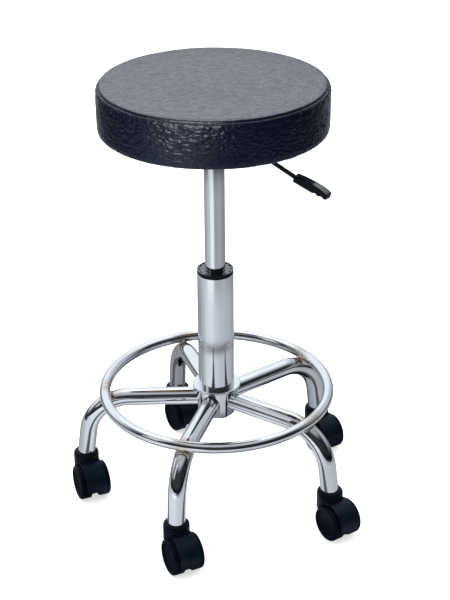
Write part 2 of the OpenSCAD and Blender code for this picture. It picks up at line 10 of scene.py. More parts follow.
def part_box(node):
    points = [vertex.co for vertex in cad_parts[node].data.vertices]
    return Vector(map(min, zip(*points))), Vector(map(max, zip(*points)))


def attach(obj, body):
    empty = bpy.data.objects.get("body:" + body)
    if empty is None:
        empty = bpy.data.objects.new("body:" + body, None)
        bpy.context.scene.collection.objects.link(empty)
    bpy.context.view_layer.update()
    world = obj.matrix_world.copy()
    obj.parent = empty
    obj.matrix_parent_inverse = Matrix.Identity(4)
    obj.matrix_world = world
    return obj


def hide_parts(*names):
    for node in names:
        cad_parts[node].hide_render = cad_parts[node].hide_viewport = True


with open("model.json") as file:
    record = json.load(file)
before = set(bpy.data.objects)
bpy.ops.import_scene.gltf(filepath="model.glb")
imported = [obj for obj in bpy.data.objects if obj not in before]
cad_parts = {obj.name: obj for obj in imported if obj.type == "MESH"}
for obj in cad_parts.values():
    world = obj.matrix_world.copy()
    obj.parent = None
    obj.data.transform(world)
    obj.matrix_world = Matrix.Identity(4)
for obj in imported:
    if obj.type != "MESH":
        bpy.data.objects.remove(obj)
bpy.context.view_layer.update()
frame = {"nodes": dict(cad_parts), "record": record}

MM = 0.001
NODES = frame["nodes"]
LEG_COUNT = 5


# ---- Places taken from the frame ----

SEAT_LOW, SEAT_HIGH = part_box("seat_cover")
SEAT_R = SEAT_HIGH.x
RING_LOW, RING_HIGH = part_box("footrest_ring")
RING_Z = (RING_LOW.z + RING_HIGH.z) / 2
RING_TUBE_R = (RING_HIGH.z - RING_LOW.z) / 2
RING_R = RING_HIGH.x - RING_TUBE_R


# ---- Material graphs ----

class Graph:
    """Builds the nodes of one material."""

    def __init__(self, name):
        self.material = bpy.data.materials.new(name)
        self.material.use_nodes = True
        self.tree = self.material.node_tree
        self.shader = self.tree.nodes["Principled BSDF"]
        self.place = self.node("ShaderNodeTexCoord").outputs["Object"]

    def node(self, kind, **settings):
        made = self.tree.nodes.new(kind)
        for key, value in settings.items():
            setattr(made, key, value)
        return made

    def link(self, source, target):
        self.tree.links.new(source, target)

    def feed(self, target, value):
        """Sets a socket to a number or colour, or links it to another socket."""
        if isinstance(value, bpy.types.NodeSocket):
            self.link(value, target)
        else:
            target.default_value = value

    def set(self, **values):
        """Sets the shader's own sockets; underscores stand for spaces."""
        for key, value in values.items():
            self.feed(self.shader.inputs[key.replace("_", " ")], value)
        return self

    def scaled(self, x, y, z):
        """Object coordinates stretched along each axis, for lengthwise grain."""
        mapping = self.node("ShaderNodeMapping")
        self.link(self.place, mapping.inputs["Vector"])
        mapping.inputs["Scale"].default_value = (x, y, z)
        return mapping.outputs["Vector"]

    def noise(self, size, detail=3.0, rough=0.55, vector=None, distortion=0.0):
        """Noise whose blobs are about size metres across."""
        made = self.node("ShaderNodeTexNoise")
        self.link(vector or self.place, made.inputs["Vector"])
        made.inputs["Scale"].default_value = 1.0 / size
        made.inputs["Detail"].default_value = detail
        made.inputs["Roughness"].default_value = rough
        made.inputs["Distortion"].default_value = distortion
        return made.outputs["Fac"]

    def cells(self, size, feature):
        """Voronoi cells about size metres across."""
        made = self.node("ShaderNodeTexVoronoi", feature=feature)
        self.link(self.place, made.inputs["Vector"])
        made.inputs["Scale"].default_value = 1.0 / size
        return made.outputs["Distance"]

    def math(self, operation, a, b=0.0, clamp=False):
        made = self.node("ShaderNodeMath", operation=operation, use_clamp=clamp)
        for socket, value in zip(made.inputs, (a, b)):
            self.feed(socket, value)
        return made.outputs["Value"]

    def remap(self, value, low, high, to_low, to_high, smooth=False):
        made = self.node("ShaderNodeMapRange")
        if smooth:
            made.interpolation_type = "SMOOTHSTEP"
        for key, given in (("Value", value), ("From Min", low), ("From Max", high),
                           ("To Min", to_low), ("To Max", to_high)):
            self.feed(made.inputs[key], given)
        return made.outputs["Result"]

    def blend(self, share, first, second):
        """Mixes two colours."""
        made = self.node("ShaderNodeMix", data_type="RGBA")
        self.feed(made.inputs["Factor"], share)
        for socket, value in ((made.inputs[6], first), (made.inputs[7], second)):
            self.feed(socket, (*value, 1.0) if isinstance(value, tuple) and len(value) == 3 else value)
        return made.outputs[2]

    def bump(self, height, depth, strength=1.0, under=None):
        """Bump of the given depth in metres, laid over another bump."""
        made = self.node("ShaderNodeBump")
        made.inputs["Strength"].default_value = strength
        made.inputs["Distance"].default_value = depth
        self.link(height, made.inputs["Height"])
        if under is not None:
            self.link(under, made.inputs["Normal"])
        return made.outputs["Normal"]


def mottled(name, dark, light, size, rough, rough_spread, bump_size, bump_depth, metallic=0.0, **extra):
    """Common base: two close colours, uneven roughness and a fine bump, all from noise."""
    graph = Graph(name)
    patches = graph.noise(size, 4.0)
    share = graph.remap(patches, 0.35, 0.65, 0.0, 1.0)
    polish = graph.noise(size * 0.6, 5.0)
    graph.set(
        Base_Color=graph.blend(share, dark, light),
        Roughness=graph.remap(polish, 0.3, 0.7, rough - rough_spread, rough + rough_spread),
        Metallic=metallic,
        **extra,
    )
    graph.set(Normal=graph.bump(graph.noise(bump_size, 3.0), bump_depth))
    return graph.material


def facing_up(graph, low, high, to_low, to_high):
    """A value that grows as the surface turns from upright to level."""
    split = graph.node("ShaderNodeSeparateXYZ")
    graph.link(graph.node("ShaderNodeNewGeometry").outputs["Normal"], split.inputs["Vector"])
    return graph.remap(split.outputs["Z"], low, high, to_low, to_high, smooth=True)


def length_of(graph, *parts):
    """The length of a vector that is given by its parts."""
    squares = [graph.math("MULTIPLY", part, part) for part in parts]
    total = squares[0]
    for square in squares[1:]:
        total = graph.math("ADD", total, square)
    return graph.math("SQRT", total)


def leg_distance(graph, place_r, place_z):
    """Distance from the nearest point at that radius and height in any leg's plane, in metres."""
    split = graph.node("ShaderNodeSeparateXYZ")
    graph.link(graph.place, split.inputs["Vector"])
    x, y, z = (split.outputs[axis] for axis in "XYZ")
    step = 2 * math.pi / LEG_COUNT
    angle = graph.math("ADD", graph.math("ARCTAN2", y, x), math.pi)
    off_leg = graph.math("PINGPONG", angle, step / 2)
    sideways = graph.math("MULTIPLY", off_leg, place_r)
    out = graph.math("SUBTRACT", length_of(graph, x, y), place_r)
    up = graph.math("SUBTRACT", z, place_z)
    return length_of(graph, sideways, out, up)


def chrome(name, tint_at=None, rough_low=0.035, rough_high=0.095):
    """Polished chrome plate with faint smudges, and a heat tint round the welds at tint_at."""
    graph = Graph(name)
    smudge = graph.noise(0.035, 5.0, 0.6, distortion=0.6)
    plate = graph.blend(graph.remap(smudge, 0.35, 0.7, 0.0, 1.0), (0.80, 0.81, 0.84), (0.86, 0.87, 0.89))
    rough = graph.remap(smudge, 0.35, 0.75, rough_low, rough_high)
    if tint_at:
        away = leg_distance(graph, *tint_at)
        near = graph.remap(away, 9 * MM, 26 * MM, 1.0, 0.0, smooth=True)
        near = graph.math("MULTIPLY", near, graph.remap(graph.noise(0.006, 3.0), 0.3, 0.7, 0.35, 1.0))
        plate = graph.blend(near, plate, (0.50, 0.43, 0.33))
        rough = graph.math("ADD", rough, graph.math("MULTIPLY", near, 0.10))
    ripple = graph.bump(graph.noise(0.012, 2.0), 0.00003)
    pits = graph.remap(graph.noise(0.0011, 2.0), 0.62, 0.78, 0.0, 1.0)
    normal = graph.bump(pits, 0.00002, 0.4, ripple)
    graph.set(Base_Color=plate, Metallic=1.0, Roughness=rough, Normal=normal)
    return graph.material


def weld_metal():
    """Plated weld bead: rippled, with brown and straw heat colours."""
    graph = Graph("heat_tinted_weld")
    patches = graph.remap(graph.noise(0.004, 4.0), 0.35, 0.65, 0.0, 1.0)
    graph.set(
        Base_Color=graph.blend(patches, (0.45, 0.36, 0.26), (0.80, 0.76, 0.68)),
        Metallic=1.0,
        Roughness=graph.remap(graph.noise(0.003, 3.0), 0.3, 0.7, 0.14, 0.34),
        Normal=graph.bump(graph.noise(0.0022, 3.0), 0.0005),
    )
    return graph.material


def satin_chrome():
    """Satin-plated cylinder with a fine lengthwise grind."""
    graph = Graph("satin_chrome")
    lines = graph.noise(0.0006, 4.0, 0.7, vector=graph.scaled(1, 1, 0.02))
    haze = graph.noise(0.03, 4.0)
    tone = graph.remap(lines, 0.3, 0.7, 0.0, 1.0)
    graph.set(
        Base_Color=graph.blend(tone, (0.70, 0.71, 0.74), (0.80, 0.81, 0.84)),
        Metallic=1.0,
        Roughness=graph.remap(haze, 0.3, 0.7, 0.07, 0.11),
        Normal=graph.bump(lines, 0.000012),
    )
    return graph.material


def vinyl():
    """Black upholstery vinyl: a crackled grain under a soft gloss, which use has polished on the top."""
    graph = Graph("black_vinyl")
    drift = graph.noise(0.03, 3.0)
    creases = graph.cells(0.0034, "DISTANCE_TO_EDGE")
    creases = graph.remap(creases, 0.0, 0.16, 0.0, 1.0, smooth=True)
    leather = graph.noise(0.0036, 4.0, 0.6, vector=graph.scaled(0.5, 1, 1), distortion=0.8)
    pores = graph.noise(0.0011, 3.0)
    base = graph.blend(creases, (0.0006, 0.0010, 0.0050), (0.0014, 0.0022, 0.0095))
    streaks = graph.noise(0.0042, 4.0, 0.65, vector=graph.scaled(0.45, 1, 1), distortion=1.0)
    high_spots = graph.math("MULTIPLY", graph.remap(streaks, 0.36, 0.66, 0.62, 1.12),
                            graph.remap(creases, 0.0, 1.0, 0.86, 1.0))
    worn = graph.math("MULTIPLY", facing_up(graph, 0.80, 0.98, 0.08, 1.0), high_spots, clamp=True)
    depth = facing_up(graph, 0.3, 0.9, 0.25, 1.0)
    normal = graph.bump(graph.math("MULTIPLY", leather, depth), 0.0016)
    normal = graph.bump(graph.math("MULTIPLY", creases, depth), 0.00016, 1.0, normal)
    normal = graph.bump(pores, 0.00006, 0.7, normal)
    graph.set(
        Base_Color=base,
        Roughness=graph.remap(drift, 0.3, 0.7, 0.19, 0.27),
        Normal=normal,
        Coat_Normal=normal,
        Specular_IOR_Level=0.24,
        Specular_Tint=(0.62, 0.76, 1.0, 1.0),
        Coat_Weight=worn,
        Coat_Roughness=0.26,
        Coat_IOR=2.6,
        Sheen_Weight=0.03,
        Sheen_Roughness=0.35,
        Sheen_Tint=(0.80, 0.88, 1.0, 1.0),
    )
    return graph.material


def moulded(name, dark, light, rough, texture=0.0005, depth=0.00003, **extra):
    """Moulded plastic with a light spark-eroded texture and dust-pale patches."""
    graph = Graph(name)
    patches = graph.noise(0.014, 5.0, 0.6)
    grain = graph.noise(texture, 2.0)
    flow = graph.bump(graph.noise(0.009, 2.0), 0.00006)
    graph.set(
        Base_Color=graph.blend(graph.remap(patches, 0.35, 0.7, 0.0, 1.0), dark, light),
        Roughness=graph.remap(graph.noise(0.008, 4.0), 0.3, 0.7, rough - 0.05, rough + 0.06),
        Normal=graph.bump(grain, depth, 0.8, flow),
        **extra,
    )
    return graph.material


def polished_top(name, gloss_rough, gloss_ior):
    """Black moulding whose upward faces are polished and whose sides are satin."""
    graph = Graph(name)
    patches = graph.remap(graph.noise(0.014, 5.0, 0.6), 0.35, 0.7, 0.0, 1.0)
    scuffs = graph.remap(graph.noise(0.005, 4.0, 0.6), 0.3, 0.7, 0.7, 1.0)
    flow = graph.bump(graph.noise(0.009, 2.0), 0.00004)
    graph.set(
        Base_Color=graph.blend(patches, (0.0012, 0.0018, 0.0040), (0.003, 0.004, 0.0075)),
        Roughness=graph.remap(graph.noise(0.008, 4.0), 0.3, 0.7, 0.24, 0.36),
        Normal=graph.bump(graph.noise(0.0005, 2.0), 0.00002, 0.8, flow),
        Specular_IOR_Level=0.14,
        Specular_Tint=(0.7, 0.82, 1.0, 1.0),
        Coat_Weight=graph.math("MULTIPLY", facing_up(graph, 0.35, 0.9, 0.0, 1.0), scuffs),
        Coat_Roughness=gloss_rough,
        Coat_IOR=gloss_ior,
    )
    return graph.material


def plywood():
    """Raw plywood: veneer layers on the edge and long grain on the faces."""
    graph = Graph("plywood")
    grain = graph.noise(0.004, 5.0, 0.65, vector=graph.scaled(1, 0.08, 1), distortion=0.3)
    layers = graph.node("ShaderNodeTexWave", wave_type="BANDS", bands_direction="Z")
    graph.link(graph.place, layers.inputs["Vector"])
    layers.inputs["Scale"].default_value = 60.0
    layers.inputs["Distortion"].default_value = 0.6
    tone = graph.blend(graph.remap(grain, 0.3, 0.7, 0.0, 1.0), (0.16, 0.10, 0.05), (0.26, 0.17, 0.09))
    glue_lines = graph.math("MULTIPLY", layers.outputs["Fac"], 0.25)
    graph.set(
        Base_Color=graph.blend(glue_lines, tone, (0.11, 0.065, 0.032)),
        Roughness=graph.remap(grain, 0.3, 0.7, 0.62, 0.78),
        Normal=graph.bump(grain, 0.0002),
    )
    return graph.material


WELD_PLACE = (RING_R - 5 * MM, RING_Z - 5 * MM)
MATERIALS = {
    "black_vinyl": vinyl(),
    "seat_foam": mottled("seat_foam", (0.62, 0.53, 0.30), (0.78, 0.70, 0.46), 0.02, 0.9, 0.04,
                         0.0012, 0.0006),
    "plywood": plywood(),
    "chrome": chrome("chrome_plate", WELD_PLACE),
    "heat_tinted_weld": weld_metal(),
    "satin_chrome": satin_chrome(),
    "black_steel": mottled("black_steel", (0.004, 0.005, 0.008), (0.009, 0.010, 0.014), 0.01, 0.30, 0.05,
                           0.0009, 0.00009, Specular_Tint=(0.55, 0.75, 1.0, 1.0)),
    "zinc_steel": mottled("zinc_steel", (0.50, 0.50, 0.52), (0.68, 0.68, 0.67), 0.006, 0.34, 0.08,
                          0.001, 0.00003, metallic=1.0),
    "ground_steel": mottled("ground_steel", (0.62, 0.62, 0.64), (0.74, 0.74, 0.75), 0.01, 0.16, 0.04,
                            0.0005, 0.00001, metallic=1.0),
    "brass": mottled("brass", (0.52, 0.38, 0.15), (0.68, 0.53, 0.25), 0.008, 0.28, 0.06,
                     0.0008, 0.00002, metallic=1.0),
    "black_bush_plastic": polished_top("black_bush_plastic", 0.05, 2.4),
    "black_socket_plastic": moulded("black_socket_plastic", (0.0010, 0.0014, 0.0026),
                                    (0.0026, 0.0032, 0.0050), 0.30,
                                    Specular_IOR_Level=0.12, Specular_Tint=(0.7, 0.82, 1.0, 1.0)),
    "grip_plastic": polished_top("grip_plastic", 0.16, 2.4),
    "caster_nylon": moulded("caster_nylon", (0.0020, 0.0032, 0.0080), (0.0045, 0.0065, 0.0135), 0.38,
                            0.0007, 0.00005,
                            Specular_IOR_Level=0.18, Specular_Tint=(0.65, 0.8, 1.0, 1.0)),
    "wheel_nylon": moulded("wheel_nylon", (0.0012, 0.0022, 0.0055), (0.003, 0.0045, 0.0095), 0.34,
                           0.0007, 0.00004,
                           Specular_IOR_Level=0.07, Specular_Tint=(0.55, 0.75, 1.0, 1.0)),
    "buffer_rubber": mottled("buffer_rubber", (0.010, 0.010, 0.010), (0.022, 0.022, 0.021), 0.006, 0.72,
                             0.06, 0.0008, 0.00006),
}
EDGE_ROUNDING = 2.2 * MM     # width of the lever grip's moulded edges


def column_finish():
    """The column's plating is a little less polished than the base's."""
    return chrome("column_plate", rough_low=0.10, rough_high=0.17)


def finish_cad_nodes():
    """Gives every CAD node the material of its slot."""
    for part in frame["record"]["subparts"]:
        mesh = NODES[part["node"]].data
        mesh.materials.clear()
        mesh.materials.append(MATERIALS[part["material_slot"]])
    NODES["column_tube"].data.materials[0] = column_finish()
    soften(NODES["lever_grip"], EDGE_ROUNDING)


def soften(piece, width):
    """Rounds a moulded piece's edges with modifiers."""
    remesh = piece.modifiers.new("even_faces", "REMESH")
    remesh.mode = "VOXEL"
    remesh.voxel_size = width / 4
    remesh.use_smooth_shade = True
    smooth = piece.modifiers.new("soft_edges", "SMOOTH")
    smooth.iterations = 14
    smooth.factor = 0.5


def new_piece(name, bm, material, smooth=True):
    """Makes an object of a bmesh, with one material."""
    mesh = bpy.data.meshes.new(name)
    bmesh.ops.recalc_face_normals(bm, faces=bm.faces)
    bm.to_mesh(mesh)
    bm.free()
    mesh.materials.append(material)
    if smooth:
        mesh.shade_smooth()
    made = bpy.data.objects.new(name, mesh)
    bpy.context.scene.collection.objects.link(made)
    return made


# ---- Upholstery ----

PAD_COLUMNS = 160
PAD_FINER = 4                # rows and columns of the finished mesh for each one that is simulated
PAD_SLACK = 0.6 * MM         # how much smaller the pad starts, before it swells
PAD_SWELL = 3.5 * MM         # the furthest that a point may move
RIPPLE_KEPT = 0.10           # share of the simulation's short ripples that stays
PAD_EDGE = 9.5 * MM          # rounding at the top edge
PAD_LOW_EDGE = 3.5 * MM      # rounding at the lower edge
PAD_DROP = 0.8 * MM          # how far the cover's lower edge hangs below the board's
TOP_STEPS, EDGE_STEPS, SIDE_STEPS, LOW_STEPS = 26, 6, 14, 4      # rows of the half section
SIDE_END = TOP_STEPS + EDGE_STEPS + SIDE_STEPS
WRAP_START = SIDE_END + LOW_STEPS
LINING_ROWS = [WRAP_START, 48, SIDE_END, 42, 36, 32, 29, 27, TOP_STEPS, 20, 10, 0]
LINING_GAP = 2.4 * MM        # from the cover's outside to its lining
WRAP_R = 120 * MM            # where the turned-in edge of the cover ends, under the board
COVER_T = 1.2 * MM
CLOTH_STEPS = 20
CLOTH_QUALITY = 6
WRINKLE_SEED = 5             # noise_vector starts from the clock unless it is given a seed
SEAM_DROP = 8 * MM           # from where the top starts to round, out and down to the seam


def arc(centre_r, centre_z, radius, start, end, steps):
    """Points of an arc in the pad's half section, without its first point; angles from outwards, up."""
    turns = (start + (end - start) * i / steps for i in range(1, steps + 1))
    return [(centre_r + radius * math.cos(t), centre_z + radius * math.sin(t)) for t in turns]


def stretch(start, end, steps):
    """Points along a straight stretch, without its first point."""
    return [(start[0] + (end[0] - start[0]) * i / steps, start[1] + (end[1] - start[1]) * i / steps)
            for i in range(1, steps + 1)]


def pad_profile():
    """Half section of the pad from the middle of its top to the cover's turned-in edge."""
    r, top, low = SEAT_R - PAD_SLACK, SEAT_HIGH.z - PAD_SLACK, SEAT_LOW.z - PAD_DROP
    quarter = math.pi / 2
    points = [(3 * MM, top)]
    points += stretch(points[-1], (r - PAD_EDGE, top), TOP_STEPS)
    points += arc(r - PAD_EDGE, top - PAD_EDGE, PAD_EDGE, quarter, 0.0, EDGE_STEPS)
    points += stretch(points[-1], (r, low + PAD_LOW_EDGE), SIDE_STEPS)
    points += arc(r - PAD_LOW_EDGE, low + PAD_LOW_EDGE, PAD_LOW_EDGE, 0.0, -quarter, LOW_STEPS)
    points += stretch(points[-1], (WRAP_R, low), 4)
    points += stretch(points[-1], (WRAP_R, low + COVER_T), 1)
    return np.array(points)


def grid_faces(rows, columns):
    """Quads of a grid that closes round its columns, and a face across its first row."""
    faces = [tuple(range(columns))]
    for i in range(rows - 1):
        for j in range(columns):
            after = (j + 1) % columns
            upper, lower = i * columns, (i + 1) * columns
            faces.append((upper + j, lower + j, lower + after, upper + after))
    return faces


def turned(profile, columns):
    """Revolves a half section into an array of rows, columns and XYZ."""
    angles = np.arange(columns) * 2 * math.pi / columns
    out = np.zeros((len(profile), columns, 3))
    out[..., 0] = profile[:, :1] * np.cos(angles)
    out[..., 1] = profile[:, :1] * np.sin(angles)
    out[..., 2] = profile[:, 1:]
    return out


def along(profile):
    """Length along the half section up to each of its points."""
    return np.concatenate([[0.0], np.cumsum(np.linalg.norm(np.diff(profile, axis=0), axis=1))])


def swollen(start, profile):
    """Swells the pad with a cloth simulation under pressure, its turned-in edge held by the staples."""
    rows, columns = start.shape[:2]
    mesh = bpy.data.meshes.new("pad_cloth")
    mesh.from_pydata(start.reshape(-1, 3).tolist(), [], grid_faces(rows, columns))
    cloth_pad = bpy.data.objects.new("pad_cloth", mesh)
    bpy.context.scene.collection.objects.link(cloth_pad)
    held = cloth_pad.vertex_groups.new(name="held")
    seam = SEAM_DROP + along(profile)[TOP_STEPS]
    for i, reach in enumerate(along(profile)):
        low_part = profile[i, 1] < SEAT_LOW.z + PAD_LOW_EDGE
        weight = 1.0 if low_part else 0.75 * math.exp(-((reach - seam) / (5 * MM)) ** 2)
        held.add(list(range(i * columns, (i + 1) * columns)), weight, "REPLACE")
    cloth = cloth_pad.modifiers.new("cloth", "CLOTH")
    cloth.settings.quality = CLOTH_QUALITY
    cloth.settings.mass = 0.08
    cloth.settings.tension_stiffness = 25
    cloth.settings.compression_stiffness = 25
    cloth.settings.shear_stiffness = 15
    cloth.settings.bending_stiffness = 1.5
    cloth.settings.vertex_group_mass = "held"
    cloth.settings.use_pressure = True
    cloth.settings.uniform_pressure_force = 4.0
    cloth.settings.effector_weights.gravity = 0.0
    cloth.settings.shrink_min = -0.01
    cloth.collision_settings.use_collision = False
    scene = bpy.context.scene
    for step in range(1, CLOTH_STEPS + 1):
        scene.frame_set(step)
    shown = cloth_pad.evaluated_get(bpy.context.evaluated_depsgraph_get())
    moved = np.zeros(rows * columns * 3)
    shown.data.vertices.foreach_get("co", moved)
    scene.frame_set(1)
    bpy.data.objects.remove(cloth_pad)
    shift = moved.reshape(start.shape) - start
    furthest = np.linalg.norm(shift, axis=2).max()
    shift = evened(shift * min(1.0, PAD_SWELL / furthest))
    # the foam holds the middle of the top at least as high as what surrounds it
    top_rows = slice(TOP_STEPS - 1, None, -1)
    shift[top_rows, :, 2] = np.maximum.accumulate(shift[top_rows, :, 2], axis=0)
    return start + shift


def evened(shift):
    """Evens out a shift round the pad, as the foam does, and keeps a little of its ripple."""
    angles = np.arange(shift.shape[1]) * 2 * math.pi / shift.shape[1]
    outward = np.stack([np.cos(angles), np.sin(angles), np.zeros_like(angles)], axis=1)
    kept = RIPPLE_KEPT + (1 - RIPPLE_KEPT) * np.exp(-(np.arange(len(angles) // 2 + 1) / 9.0) ** 2)
    radial, upward = (np.fft.irfft(np.fft.rfft(part, axis=1) * kept, n=len(angles), axis=1)
                      for part in ((shift * outward).sum(axis=2), shift[..., 2]))
    return radial[..., None] * outward + upward[..., None] * np.array([0.0, 0.0, 1.0])


def cubic(values, finer, closed):
    """Catmull-Rom interpolation of an array along its first axis."""
    count = len(values)
    if closed:
        before, after, beyond = (np.roll(values, shift, axis=0) for shift in (1, -1, -2))
        bases = range(count)
    else:
        ends = np.concatenate([values[:1], values, values[-1:], values[-1:]])
        before, after, beyond = ends[:count], ends[2:count + 2], ends[3:count + 3]
        bases = range(count - 1)
    out = []
    for i in bases:
        a, b, c, d = before[i], values[i], after[i], beyond[i]
        for k in range(finer):
            t = k / finer
            out.append(0.5 * (2 * b + (c - a) * t + (2 * a - 5 * b + 4 * c - d) * t * t
                              + (3 * b - a - 3 * c + d) * t ** 3))
    if not closed:
        out.append(values[-1])
    return np.array(out)


def surface_normals(points):
    """Outward normals of a grid that closes round its columns."""
    down = np.gradient(points, axis=0)
    round_ = np.roll(points, -1, axis=1) - np.roll(points, 1, axis=1)
    normals = np.cross(down, round_)
    return normals / np.maximum(np.linalg.norm(normals, axis=2, keepdims=True), 1e-12)


def bell(value, middle, width):
    return math.exp(-((value - middle) / width) ** 2)


def clamped(value, lowest):
    return min(max(value, lowest), 1.0)


def round_noise(angle, ripples, row):
    """Noise that closes on itself round the pad; row picks one of its many courses."""
    return noise.noise(Vector((math.cos(angle) * ripples, math.sin(angle) * ripples, row)))


def grain(place, size):
    """Crackled leather relief from -1 to 1, of that size in metres."""
    at = place / size
    warp = noise.noise_vector(at * 0.45) * 0.9
    return noise.noise(at + warp) + 0.5 * abs(noise.noise((at + warp) * 2.1)) - 0.12


def wrinkles(place):
    """Shallow wavy wrinkles of the side, from 0 to about 1."""
    at = Vector((place.x, place.y, place.z * 1.3)) / (6 * MM)
    warp = noise.noise_vector(at * 0.55) * 1.1
    return 2.0 * abs(noise.noise(at + warp)) + 0.7 * abs(noise.noise((at + warp) * 2.2))


def pad_relief(place, reach, angle, marks):
    """Height of the seam, its puckers, the lower pleats and the grain over the smooth pad."""
    seam, side_end, wrap_start = marks
    patch = noise.noise(place / 0.045)
    height = grain(place, 5.2 * MM) * 0.07 * MM * (1.0 + 0.9 * patch)
    on_side = clamped((reach - seam) / (6 * MM), 0.0) * clamped((wrap_start - reach) / (26 * MM), 0.3)
    height += (wrinkles(place) - 0.3) * on_side * 0.65 * MM * (1.0 + 0.9 * patch)
    height += 0.25 * MM * patch * (1.0 - on_side)
    # the seam: a shallow groove with a rolled edge of cover above it
    waver = 0.5 * MM * round_noise(angle, 7, 3.1)
    height -= 0.9 * MM * bell(reach, seam + waver, 1.2 * MM)
    height += 0.3 * MM * bell(reach, seam + waver - 2.8 * MM, 1.6 * MM)
    pucker = round_noise(angle, 26, reach / (12 * MM))
    slack = 0.55 + 0.45 * round_noise(angle, 1.7, 9.0)
    height += 1.5 * MM * pucker * max(slack, 0.1) * bell(reach, seam + 4 * MM, 5 * MM)
    # pleats where the cover turns under the board
    pleat = round_noise(angle, 22, 5.0)
    under = clamped((reach - side_end + 14 * MM) / (20 * MM), 0.0)
    height += 0.3 * MM * pleat * under
    if reach > wrap_start:
        height = 0.3 * MM + 0.5 * MM * abs(pleat)
    return height


def lining(coarse):
    """The inner side of the cover, from its turned-in edge back to the middle of the top."""
    inner = (coarse - surface_normals(coarse) * LINING_GAP)[LINING_ROWS]
    return cubic(inner.transpose(1, 0, 2), PAD_FINER, closed=True).transpose(1, 0, 2)


def upholstery():
    """The vinyl cover: swollen by simulation, then seamed, puckered, pleated and grained."""
    noise.seed_set(WRINKLE_SEED)
    profile = pad_profile()
    start = turned(profile, PAD_COLUMNS)
    coarse = swollen(start, profile)
    fine = cubic(coarse, PAD_FINER, closed=False)
    fine = cubic(fine.transpose(1, 0, 2), PAD_FINER, closed=True).transpose(1, 0, 2)
    reach = cubic(along(profile)[:, None], PAD_FINER, closed=False)[:, 0]
    seam = along(profile)[TOP_STEPS] + SEAM_DROP
    side_end = along(profile)[SIDE_END]
    marks = (seam, side_end, along(profile)[WRAP_START] + 2 * MM)
    normals = surface_normals(fine)
    rows, columns = fine.shape[:2]
    for i in range(rows - PAD_FINER):
        for j in range(columns):
            angle = 2 * math.pi * j / columns
            relief = pad_relief(Vector(fine[i, j]), reach[i], angle, marks)
            fine[i, j] += normals[i, j] * relief
    beside_board = (reach < side_end) & (fine[..., 2].max(axis=1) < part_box("seat_board")[1].z + 2 * MM)
    radius = np.linalg.norm(fine[beside_board][..., :2], axis=2, keepdims=True)
    fine[beside_board, :, :2] *= np.maximum(1.0, (SEAT_R - 0.8 * MM) / radius)
    fine = np.concatenate([fine, lining(coarse)])
    rows = len(fine)
    last_face = tuple(reversed(range((rows - 1) * columns, rows * columns)))
    mesh = bpy.data.meshes.new("seat_upholstery")
    mesh.from_pydata(fine.reshape(-1, 3).tolist(), [], grid_faces(rows, columns) + [last_face])
    mesh.materials.append(MATERIALS["black_vinyl"])
    mesh.shade_smooth()
    pad = bpy.data.objects.new("seat_upholstery", mesh)
    bpy.context.scene.collection.objects.link(pad)
    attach(pad, "seat")
    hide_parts("seat_cover")
    return coarse


def foam_disc(cover):
    """The foam under the cover: the cover's own swollen shape, less its thickness, down to the board."""
    board_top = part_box("seat_board")[1].z
    inset = cover - surface_normals(cover) * 2.2 * MM
    kept = [row for row in inset if row[:, 2].mean() > board_top + MM]
    rim = kept[-1].copy()
    rim[:, 2] = board_top
    rows = np.array(kept + [rim])
    bm = bmesh.new()
    vertices = [[bm.verts.new(point) for point in row] for row in rows]
    for upper, lower in zip(vertices, vertices[1:]):
        for j in range(PAD_COLUMNS):
            after = (j + 1) % PAD_COLUMNS
            bm.faces.new((upper[j], upper[after], lower[after], lower[j]))
    bm.faces.new(vertices[0])
    bm.faces.new(vertices[-1])
    disc = new_piece("seat_foam_pad", bm, MATERIALS["seat_foam"])
    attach(disc, "seat")
    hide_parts("seat_foam")


# ---- Stage, light and camera ----

CAMERA_PLACE = Vector((-0.0257, -1.7727, 1.2134))
CAMERA_YAW = math.radians(1.25)
CAMERA_PITCH = math.radians(27.16)
CAMERA_ROLL = -0.0082
CAMERA_LENS = 86.9


def make_camera():
    forward = Vector((math.sin(CAMERA_YAW) * math.cos(CAMERA_PITCH),
                      math.cos(CAMERA_YAW) * math.cos(CAMERA_PITCH),
                      -math.sin(CAMERA_PITCH)))
    level = Vector((math.cos(CAMERA_YAW), -math.sin(CAMERA_YAW), 0.0))
    upright = level.cross(forward)
    right = level * math.cos(CAMERA_ROLL) + upright * math.sin(CAMERA_ROLL)
    up = right.cross(forward)
    data = bpy.data.cameras.new("camera")
    data.sensor_width = 36.0
    data.lens = CAMERA_LENS
    data.dof.use_dof = False
    data.clip_start, data.clip_end = 0.05, 50.0
    camera = bpy.data.objects.new("camera", data)
    axes = Matrix((right, up, -forward)).transposed()
    camera.matrix_world = Matrix.Translation(CAMERA_PLACE) @ axes.to_4x4()
    bpy.context.scene.collection.objects.link(camera)
    bpy.context.scene.camera = camera


# Greys that the floor shows in reflections, by direction from behind the stool (0), round its left,
# past the camera (0.5) and round its right to behind it again (1): close by, further out and far off
NEAR_CARDS = [(0.0, 0.30), (0.17, 0.36), (0.25, 0.55), (0.35, 0.84), (0.42, 0.90),
              (0.50, 0.74), (0.58, 0.64), (0.72, 0.56), (0.86, 0.42), (1.0, 0.30)]
MIDDLE_CARDS = [(0.0, 0.34), (0.20, 0.50), (0.27, 0.66), (0.345, 0.74), (0.375, 1.12), (0.455, 1.18),
                (0.485, 0.56), (0.52, 0.43), (0.64, 0.50), (0.76, 0.38), (0.90, 0.28)]
FAR_CARDS = [(0.0, 0.60), (0.08, 0.45), (0.14, 0.03), (0.28, 0.03), (0.33, 0.75), (0.44, 0.80),
             (0.475, 0.10), (0.54, 0.03), (0.60, 0.02), (0.82, 0.02), (0.90, 0.40)]
CARD_TINT = (0.89, 0.935, 1.0)
SHADE_UNDER = (0.10, 0.11, 0.125)    # the floor round the casters, in their own shade
